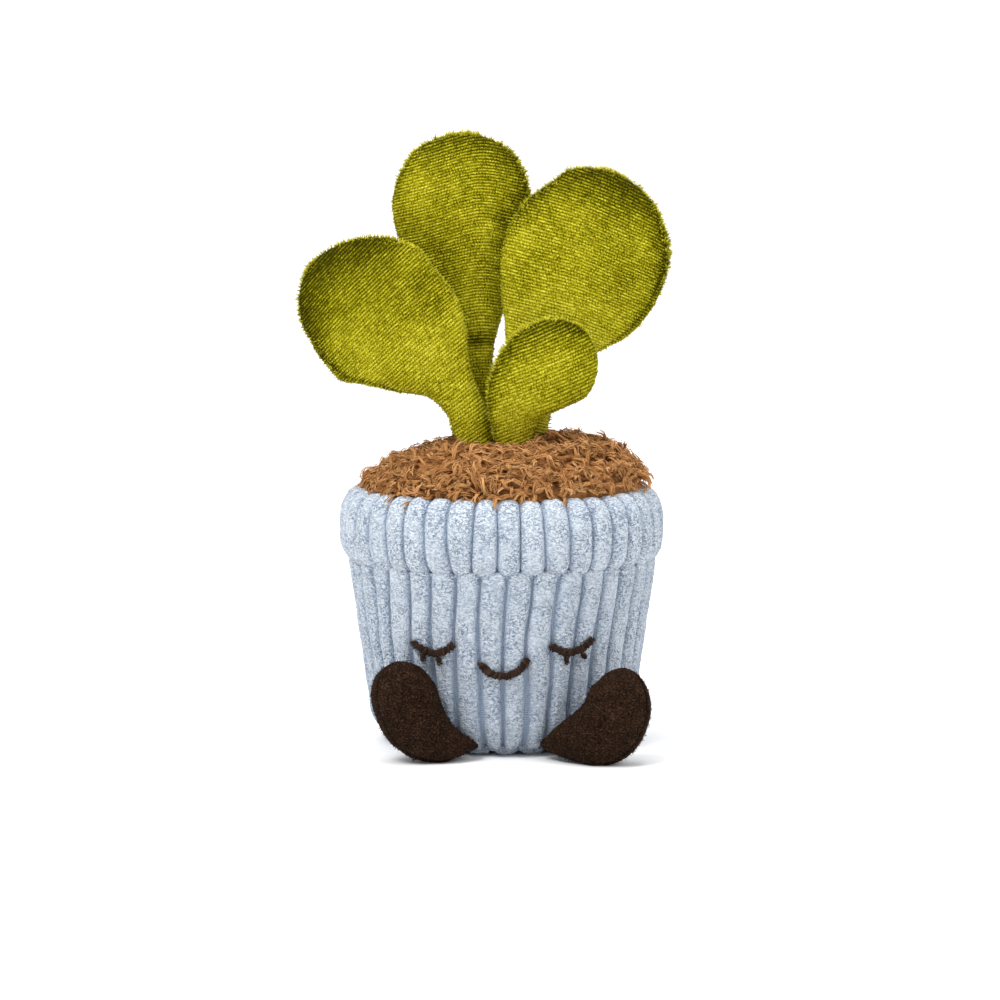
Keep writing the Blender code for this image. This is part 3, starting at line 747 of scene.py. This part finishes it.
class Pad:
    """A stuffed piece sewn from two panels along a midline. Its outline lists shares of the midline and the
    half-widths there, in mm, to the left and right as seen from in front, and closes at the tip."""

    def __init__(self, facts, root_puff, puff, rows, columns, bury=0.0, fullness=0.9):
        path, _ = evenly_spaced(smooth_curve(facts["midline"], 400), 400)
        even = np.linspace(0, 1, 400)
        shares, *sides = np.array(facts["outline"] + [(1.0, 0.0, 0.0)]).T
        tip = int(0.35 * rows)
        bend = 0.78
        rounded = bend + (1 - bend) * np.sin(np.linspace(0, math.pi / 2, tip))
        self.share = np.concatenate([np.linspace(0, bend, rows - tip, endpoint=False), rounded])
        # squared half-widths run straight to nothing at a round tip, so the curve goes through those
        squares = smooth_curve(np.stack([shares, *[(MM * side) ** 2 for side in sides]], 1), 600)
        self.left, self.right = (
            np.sqrt(np.clip(np.interp(self.share, squares[:, 0], squares[:, i]), 1e-10, None))
            for i in (1, 2))
        width = (self.left + self.right) / 2
        grow = (width / width.max()) ** 0.8
        self.puff = root_puff * (1 - grow) * (1 - smoothstep(0.35, 0.80, self.share)) + puff * grow
        run = np.gradient(path, axis=0)
        window = np.ones(61) / 61
        run = [np.convolve(np.pad(column, 30, "edge"), window, "valid") for column in run.T]
        self.along, self.centre = (
            np.stack([np.interp(self.share, even, values) for values in curve], 1)
            for curve in (run, path.T))
        self.along = normalised(self.along)
        self.centre -= np.outer(np.maximum(0.04 - self.share, 0) / 0.04 * bury, self.along[0])
        face = np.array(facts["face"], float)
        self.face = normalised(face - (self.along @ face)[:, None] * self.along)
        self.across = np.cross(self.along, self.face)
        self.angle = TURN * np.arange(columns) / columns
        self.fullness = fullness

    def surface(self):
        """Points (rows, columns, 3), starting at the right seam and passing over the front."""
        c, s = np.cos(self.angle), np.sin(self.angle)
        width = np.where(c[None, :] > 0, self.right[:, None], self.left[:, None])
        out = np.sign(c) * np.abs(c) ** self.fullness * width
        up = np.sign(s) * np.abs(s) ** self.fullness * self.puff[:, None]
        return self.centre[:, None] + shifts(out, self.across) + shifts(up, self.face)

    def seam_distance(self, right, left):
        """Distance of each point from the nearer seam. Right and left are how far, in radians, each seam is
        rolled over the front."""
        angle = np.where(self.angle > math.pi, self.angle - TURN, self.angle)[None, :]
        from_right = np.abs(angle - right[:, None])
        seam = math.pi - left[:, None]
        from_left = np.minimum(np.abs(angle - seam), np.abs(angle + TURN - seam))
        return np.maximum(self.puff, 0.0008)[:, None] * np.minimum(from_right, from_left)

    def behind_seams(self, right, left):
        """1 on the back panel and 0 on the front panel."""
        angle = self.angle[None, :]
        return 1.0 - ((angle > right[:, None]) & (angle < math.pi - left[:, None]))


def edge_distance(points, direction):
    """How far each point of an upright flat piece lies from its edge in the given (x, z) direction."""
    d = np.array(direction, float) / np.linalg.norm(direction)
    flat = points[:, (0, 2)]
    reach = flat @ d
    bins = ((flat @ np.array((-d[1], d[0]))) / MM).astype(int)
    bins -= bins.min()
    edge = np.full(bins.max() + 1, -1.0)
    np.maximum.at(edge, bins, reach)
    return edge[bins] - reach


def sewn_cloth(name, grid, material, slot, fill, **attributes):
    """The cloth of a leaf or a foot, in place of its two panels and its filling."""
    piece = make_mesh(name + "_cloth", grid, capped_faces(*grid.shape[:2]), material, slot, **attributes)
    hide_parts(name + "_front", name + "_back", name + "_filling")


# Each leaf: its midline from root to tip, the way its front faces, half its thickness and its outline; its
# grid; its ribs (an x, their slope there, how it bends, its kink at a fold, and their spacing); where its
# painted dark band of shade lies and ends, how wide and dark it is; the pile's base value, and how much
# painted light brightens it low down; the roll of its right and left seams, in radians; and its dents and
# painted shadows, at (x, z)
LEAVES = {
    "leaf_left": {
        "midline": [(-0.0061, -0.0035, 0.0800), (-0.0108, -0.0045, 0.0921), (-0.0297, -0.0025, 0.1127),
                    (-0.0519, 0.0035, 0.1277)],
        "face": (0.08, -1.0, 0.10), "puff": 0.0056,
        "outline": [(0.0, 4.5, 4.6), (0.1, 5.4, 4.5), (0.2, 5.3, 5.6), (0.3, 6.8, 8.7), (0.4, 12.2, 14.1),
                    (0.5, 16.5, 18.0), (0.6, 19.9, 19.0), (0.68, 19.4, 20.6), (0.74, 18.5, 19.7),
                    (0.8, 17.1, 18.5), (0.9, 13.4, 13.8)],
        "grid": (340, 56), "ribs": (-0.030, 0.90, -8.9, 0.0, 0.00112),
        "shade_from": (-0.62, 0.78), "shade_end": (-0.036, -0.022), "band": 0.0105, "dark": 0.50,
        "nap": 0.53, "lift": 0.08, "seed": 21, "roll": (0.0, 0.336),
        "dents": [((-0.0165, 0.1180), 0.0045, 0.0010), ((-0.0215, 0.1235), 0.0032, 0.0009)],
    },
    "leaf_back": {
        "midline": [(-0.0066, 0.0075, 0.0800), (-0.0070, 0.0095, 0.1053), (-0.0099, 0.0150, 0.1348),
                    (-0.0104, 0.0226, 0.1630)],
        "face": (0.0, -1.0, 0.10), "puff": 0.0056,
        "outline": [(0.0, 4.1, 4.1), (0.15, 4.2, 4.4), (0.3, 4.4, 4.9), (0.4, 7.4, 8.2), (0.5, 11.5, 12.0),
                    (0.6, 15.8, 15.4), (0.7, 18.9, 18.4), (0.8, 19.3, 18.2), (0.9, 16.4, 15.2),
                    (0.96, 11.8, 11.0)],
        "grid": (380, 52), "ribs": (-0.0055, 0.03, 0.0, 0.27, 0.00083),
        "shade_from": (0.12, 0.99), "band": 0.0055, "dark": 0.34,
        "nap": 0.49, "lift": 0.14, "seed": 31, "roll": (0.0, 0.0),
        "dents": [((0.0012, 0.1403), 0.0036, 0.0015), ((0.0066, 0.1450), 0.0032, 0.0010),
                  ((-0.0034, 0.1372), 0.0034, -0.0008), ((-0.0062, 0.1078), 0.0030, 0.0013)],
        "shadows": [((0.0024, 0.1290), (0.0030, 0.0120), 0.22), ((-0.0150, 0.1260), (0.0040, 0.0070), 0.14),
                    ((-0.0060, 0.1080), (0.0080, 0.0014), 0.20),
                    ((-0.0055, 0.0960), (0.0080, 0.0100), 0.12)],
    },
    "leaf_right": {
        "midline": [(0.0076, 0.0050, 0.0800), (0.0100, 0.0020, 0.0959), (0.0193, 0.0025, 0.1222),
                    (0.0292, 0.0105, 0.1533)],
        "face": (-0.05, -1.0, 0.10), "puff": 0.0058,
        "outline": [(0.0, 4.3, 4.3), (0.1, 4.8, 4.6), (0.2, 6.8, 5.0), (0.3, 11.4, 7.6), (0.4, 15.5, 12.8),
                    (0.5, 18.8, 19.0), (0.6, 21.0, 22.2), (0.7, 21.7, 22.8), (0.8, 19.8, 21.4),
                    (0.9, 14.6, 16.4), (0.96, 11.0, 11.0)],
        "grid": (360, 56), "ribs": (0.020, -0.33, -7.0, 0.0, 0.00087),
        "shade_from": (0.45, 0.89), "band": 0.006, "dark": 0.40,
        "nap": 0.50, "lift": 0.24, "seed": 41, "roll": (0.336, 0.0),
    },
    "leaf_small": {
        "midline": [(0.0030, -0.0060, 0.0800), (0.0029, -0.0090, 0.0897), (0.0087, -0.0110, 0.0984),
                    (0.0222, -0.0085, 0.1113)],
        "face": (0.0, -1.0, 0.12), "puff": 0.0048,
        "outline": [(0.0, 4.8, 4.3), (0.1, 4.7, 6.0), (0.2, 5.4, 7.2), (0.3, 7.6, 8.0), (0.4, 9.8, 8.8),
                    (0.5, 11.4, 10.2), (0.6, 12.2, 12.0), (0.7, 11.9, 13.2), (0.8, 10.7, 12.4),
                    (0.9, 8.2, 9.6)],
        "grid": (200, 48), "ribs": (0.010, 0.41, 0.0, 0.0, 0.00097),
        "shade_from": (-0.35, 0.94), "band": 0.0050, "dark": 0.36,
        "nap": 0.52, "lift": 0.11, "seed": 51, "roll": (0.1, 0.0),
    },
}


def rib_coordinates(points, ribs, seed):
    """The count of ribs below each point, and its place along them in stitches. The ribs' slope changes
    steadily with x, and also by the kink where a leaf folds."""
    start, slope, bend, kink, spacing = ribs
    x, z = points[..., 0] - start, points[..., 2] - 0.08
    rise = slope * x + 0.5 * bend * x**2
    rise -= kink * 0.004 * np.log(np.cosh(x / 0.004))
    rise -= 0.0005 * noise_at(points, 0.018, seed) + 0.00012 * noise_at(points, 0.004, seed + 1)
    tilt = slope + bend * x
    along = x * np.sqrt(1 + tilt**2) + 0.35 * z * tilt + 0.0002 * noise_at(points, 0.005, seed + 2)
    return (z - rise) / spacing, along / STITCH_PITCH


def dents(grid, leaf):
    """Depth of the leaf's dents at each point."""
    hollow = np.zeros(grid.shape[:2])
    for (x, z), radius, depth in leaf.get("dents", ()):
        away = np.hypot(grid[..., 0] - x, grid[..., 2] - z) / radius
        hollow += depth * np.exp(-(away**2))
    return hollow


def leaf_nap(grid, pad, leaf, back):
    """The pile's tone at each point with painted shade and light, seams and dents apart: painted shade in a
    band along one edge and on the back panel, and painted light low on the blade, over random patches.
    """
    seed = leaf["seed"]
    away = edge_distance(grid.reshape(-1, 3), leaf["shade_from"]).reshape(grid.shape[:2])
    # painted shade: a dark band along the edge that shade_from points to
    shaded = np.exp(-((away / leaf["band"]) ** 1.6))
    if "shade_end" in leaf:
        shaded = shaded * (1 - 0.85 * smoothstep(*leaf["shade_end"], grid[..., 0]))
    patches = noise_at(grid * (1, 1, 0.8), 0.011, seed + 5) + 0.6 * noise_at(grid, 0.005, seed + 6)
    low_blade = 1 - smoothstep(0.30, 0.62, pad.share)[:, None]
    # painted shade on the back panel, and painted light that lightens the lower blade
    return leaf["nap"] + 0.11 * patches - leaf["dark"] * shaded - 0.05 * back + leaf["lift"] * low_blade


def make_leaf(name, leaf):
    pad = Pad(leaf, LEAF_ROOT_PUFF, leaf["puff"], *leaf["grid"], bury=0.003)
    grid = pad.surface()
    normal = pad_normals(grid)
    seed = leaf["seed"]
    rib, along = rib_coordinates(grid, leaf["ribs"], seed)
    blade = smoothstep(0.25, 0.50, pad.share) * (1 - smoothstep(0.70, 0.90, pad.share))
    rolls = [roll * blade for roll in leaf["roll"]]
    stitched = np.exp(-((pad.seam_distance(*rolls) / SEAM_WIDTH) ** 2))
    back = pad.behind_seams(*rolls)

    hollow = dents(grid, leaf) * (1 - back)
    lift = RIB_HEIGHT * np.cos(TURN * rib)
    lift += 0.00040 * noise_at(grid, 0.013, seed + 3) + 0.00016 * noise_at(grid, 0.004, seed + 4)
    lift -= SEAM_DENT * stitched
    lift -= hollow
    grid = grid + lift[..., None] * normal

    nap = leaf_nap(grid, pad, leaf, back)
    # painted shade in the creases of the seams and in the dents
    nap -= 0.30 * stitched + 110 * hollow
    # painted shadows, each an oval round an (x, z) place
    for (x, z), (wide, high), amount in leaf.get("shadows", ()):
        nap -= amount * np.exp(-(((grid[..., 0] - x) / wide) ** 2 + ((grid[..., 2] - z) / high) ** 2))
    sewn_cloth(name, grid, VELOUR, "velour", 0.6, rib=rib, along=along, nap=nap)
    leaf_pile(name, grid, normal, nap, pad, leaf)


def leaf_pile(name, grid, normal, nap, pad, leaf):
    """Pile that stands out along the leaf's edge, longest and painted lightest at the edge that shade_from
    points to.
    """
    rng = np.random.default_rng(leaf["seed"])
    edge = np.abs(np.cos(pad.angle))[None, :] ** 24 + smoothstep(0.985, 1.0, pad.share)[:, None]
    weight = cell_sizes(grid) * edge * (pad.share > 0.08)[:, None]
    toward = leaf["shade_from"]
    top = smoothstep(-0.2, 0.8, normal[..., 0] * toward[0] + normal[..., 2] * toward[1])
    weight = weight * (0.6 + top)
    count = int(LEAF_PILE_PER_MM * np.sum(steps(grid[:, 0])) / MM)
    picked, roots, directions = scattered(grid, normal, weight, count, 0.0002, 1.0, 0.42, rng)
    tall = top.ravel()[picked]
    length = (0.0006 + 0.0008 * tall) * rng.uniform(0.6, 1.25, count)
    # painted light: pile at the top edge is lighter, over the leaf's painted shade and random tone
    shade = 0.3 * nap.ravel()[picked] + 0.42 + 0.14 * tall + rng.normal(0.0, 0.18, count)
    width = rng.uniform(0.00022, 0.00040, count)
    spikes(name + "_pile", roots, directions, length, width, shade, FUZZ, "velour", rng)


FEET = {
    "foot_left": {
        "midline": [(-0.0067, -0.0346, 0.0036), (-0.0138, -0.0376, 0.0062), (-0.0224, -0.0385, 0.0112),
                    (-0.0261, -0.0380, 0.0190), (-0.0270, -0.0367, 0.0266)],
        "face": (0.20, -1.0, 0.0), "seed": 61, "roll": (0.0, 0.45),
        "outline": [(0.0, 0.6, 0.6), (0.1, 2.9, 2.0), (0.2, 6.0, 2.9), (0.3, 7.7, 4.8), (0.4, 8.9, 6.9),
                    (0.5, 9.1, 8.4), (0.7, 8.7, 8.9), (0.8, 8.0, 8.3), (0.9, 6.1, 6.9)],
    },
    "foot_right": {
        "midline": [(0.0109, -0.0331, 0.0040), (0.0175, -0.0376, 0.0063), (0.0260, -0.0420, 0.0105),
                    (0.0316, -0.0410, 0.0178), (0.0324, -0.0390, 0.0250)],
        "face": (-0.25, -1.0, 0.0), "seed": 71, "roll": (0.38, 0.0),
        "outline": [(0.0, 0.6, 0.6), (0.1, 2.2, 3.4), (0.2, 3.8, 5.8), (0.3, 5.2, 7.6), (0.4, 6.2, 9.6),
                    (0.5, 7.0, 10.8), (0.6, 7.8, 10.8), (0.7, 8.3, 9.8), (0.8, 8.1, 7.8), (0.9, 6.6, 5.2)],
    },
}


def make_foot(name, foot):
    rng = np.random.default_rng(foot["seed"])
    rows, columns = 110, 80
    pad = Pad(foot, 0.0006, FOOT_PUFF, rows, columns, fullness=0.85)
    grid = pad.surface()
    normal = pad_normals(grid)
    seam = pad.seam_distance(*[roll * np.ones(rows) for roll in foot["roll"]])
    lift = 0.0003 * noise_at(grid, 0.008, foot["seed"]) + 0.0001 * noise_at(grid, 0.0012, 2)
    lift -= SEAM_DENT * np.exp(-((seam / SEAM_WIDTH) ** 2))
    grid = grid + lift[..., None] * normal
    grid[..., 2] = np.maximum(grid[..., 2], 0.0)
    # painted shade along the crease of the seam, over random tone
    shade = 0.5 + 0.14 * noise_at(grid, 0.0028, 4) - 0.42 * np.exp(-((seam / 0.0004) ** 2))
    sewn_cloth(name, grid, SUEDE, "suede", 0.85, shade=shade)

    off_floor = (cell_sizes(grid) * (grid[..., 2] > 0.0009)).ravel()
    count = FOOT_PILE_COUNT
    picked, roots, directions = scattered(grid, normal, off_floor, count, 0.0, 0.55, 0.5, rng)
    length = rng.uniform(0.0003, 0.0007, count)
    shades = shade.ravel()[picked] + rng.normal(0.0, 0.22, count)
    spikes(name + "_pile", roots, directions, length, np.full(count, 0.00016), shades, SUEDE, "suede", rng)


# -------- embroidered face

def on_wall(x, z, proud):
    """Points at (x, z) that stand proud of the front wall's cloth. Stitches half bridge its grooves."""
    radius = wall_radius(z)
    phase = np.arcsin(x / radius) * WALL_WALES / TURN
    phase = phase - wale_sway(phase, z, WALL_WALES, WALL_SEED)
    crest = wale_height(2 * (phase % 1.0) - 1, WALL_SHARE)
    radius = radius - 0.5 * WALE_DEPTH * (1 - crest) + proud
    return np.stack([x, -np.sqrt(radius**2 - x**2), z], -1)


def satin_line(name, places, width, node, seed):
    """A line of satin stitches through (x, z) places: arched threads side by side across the line."""
    rng = np.random.default_rng(seed)
    line, along = evenly_spaced(places, max(int(np.sum(steps(places)) / THREAD_STEP), 4))
    run = normalised(np.gradient(line, axis=0))
    across = np.stack([-run[:, 1], run[:, 0]], 1)
    slant = normalised(across + 0.35 * run)
    count = len(line)
    t = np.linspace(-1, 1, 9)
    blunt = np.clip(np.minimum(along, along[::-1]) / 0.0012 + 0.55, 0, 1)
    half = 0.5 * width * (1 + 0.10 * rng.normal(size=count)) * blunt
    spot = line[:, None] + shifts(half[:, None] * t, slant)
    spot = spot + shifts(0.00012 * rng.normal(size=(count, 1)), across)
    proud = 0.00035 + 0.00080 * np.sqrt(1 - 0.96 * t**2) - 0.0010 * np.abs(t) ** 8
    lines = on_wall(spot[..., 0], spot[..., 1], proud[None, :] + 0.00013 * rng.normal(size=(count, 1)))
    thickness = rng.uniform(0.00042, 0.00056, (count, 1)) * np.ones(len(t))
    # painted shade: each stitch is darker at its two ends, where it dips into the cloth
    shades = 0.5 + 0.16 * rng.normal(size=(count, 1)) - 0.30 * t[None, :] ** 4
    piece = strands(name, lines, thickness, shades, THREAD, "thread", sides=5)
    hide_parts(node)


def hanging(middle, height, half, sag, slope, count=40):
    """A line of (x, z) places that hangs between its two ends like a smile."""
    share = np.linspace(-1, 1, count)
    return np.stack([middle + half * share, height + slope * half * share - sag * (1 - share**2)], 1)


def make_face():
    satin_line("smile_stitches", hanging(0.0008, 0.0266, 0.0063, 0.0040, 0.07), LINE_WIDTH, "smile", 81)
    eyes = {"left_eye": (-0.0180, 0.0311, 0.0055, 0.0028, 0.0),
            "right_eye": (0.0186, 0.0313, 0.0056, 0.0028, 0.09)}
    for eye, facts in eyes.items():
        satin_line(eye + "_stitches", hanging(*facts), LINE_WIDTH, eye, 83)
    # each lash: its width, how far its foot stands to the right, and the share of its height that it keeps
    lashes = {"left_lash_outer": (0.0017, -0.0003, 0.62), "left_lash_inner": (0.0015, 0.0002, 0.80),
              "right_lash_inner": (0.0012, 0.0, 0.78), "right_lash_outer": (0.0014, 0.0010, 0.55)}
    for number, (lash, (width, lean, share)) in enumerate(lashes.items()):
        low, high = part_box(lash)
        x = (low.x + high.x) / 2
        foot = high.z - share * (high.z - low.z)
        places = np.array([(x, high.z + 0.0003), (x + 0.5 * lean, (foot + high.z) / 2), (x + lean, foot)])
        satin_line(lash + "_stitches", places, width, lash, 87 + number)


# -------- hidden bag, stage, lights and camera

def dress_bean_bag():
    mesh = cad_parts["bean_bag"].data
    mesh.materials.clear()
    mesh.materials.append(CALICO)


def make_stage():
    """A pale sweep: a floor that curves up into a wall behind the toy."""
    depth, bend, height, half = 1.6, 0.5, 3.0, 3.0
    profile = [(-4.0, 0.0)]
    for angle in np.linspace(0, math.pi / 2, 24):
        profile.append((depth - bend + bend * math.sin(angle), bend - bend * math.cos(angle)))
    profile.append((depth, height))
    points = [(x, y, z) for y, z in profile for x in (-half, half)]
    faces = [(i, i + 1, i + 3, i + 2) for i in range(0, 2 * len(profile) - 2, 2)]
    mesh = bpy.data.meshes.new("sweep")
    mesh.from_pydata(points, [], faces)
    mesh.shade_smooth()
    sweep = add_object("sweep", mesh)
    s = Shader("sweep_paper", 0.9, specular=0.05)
    paper = s.ramp(s.noise(0.01), [(0.3, (0.905, 0.905, 0.905)), (0.7, (0.915, 0.915, 0.915))])
    mesh.materials.append(s.finish(paper))


def area_light(name, place, size, power):
    data = bpy.data.lights.new(name, "AREA")
    data.size = size
    data.energy = power
    light = add_object(name, data)
    light.location = place
    light.rotation_euler = (LIT_POINT - Vector(place)).to_track_quat("-Z", "Y").to_euler()


def make_lights():
    world = bpy.data.worlds.new("studio")
    bpy.context.scene.world = world
    world.use_nodes = True
    background = world.node_tree.nodes["Background"]
    background.inputs["Color"].default_value = (1.0, 1.0, 1.0, 1.0)
    background.inputs["Strength"].default_value = 0.62
    area_light("key", (-0.8, -0.9, 1.6), 0.8, 25.0)
    area_light("fill", (1.3, -0.9, 1.3), 1.0, 10.0)
    area_light("backdrop", (0.0, 0.2, 2.2), 1.4, 30.0)
    bpy.context.scene.view_settings.view_transform = "Standard"


def make_camera():
    data = bpy.data.cameras.new("camera")
    data.sensor_width = SENSOR_WIDTH
    data.lens = SENSOR_WIDTH * CAMERA_DISTANCE / VIEW_WIDTH
    data.clip_start = 0.01
    camera = add_object("camera", data)
    back = Vector((0.0, -math.cos(CAMERA_ELEVATION), math.sin(CAMERA_ELEVATION)))
    camera.location = VIEW_CENTRE + CAMERA_DISTANCE * back
    camera.rotation_euler = (-back).to_track_quat("-Z", "Y").to_euler()
    bpy.context.scene.camera = camera


make_camera()
make_lights()
make_stage()
make_wall()
make_rim()
make_base()
make_filling()
make_soil()
for leaf_name, leaf_facts in LEAVES.items():
    make_leaf(leaf_name, leaf_facts)
for foot_name, foot_facts in FEET.items():
    make_foot(foot_name, foot_facts)
make_face()
dress_bean_bag()
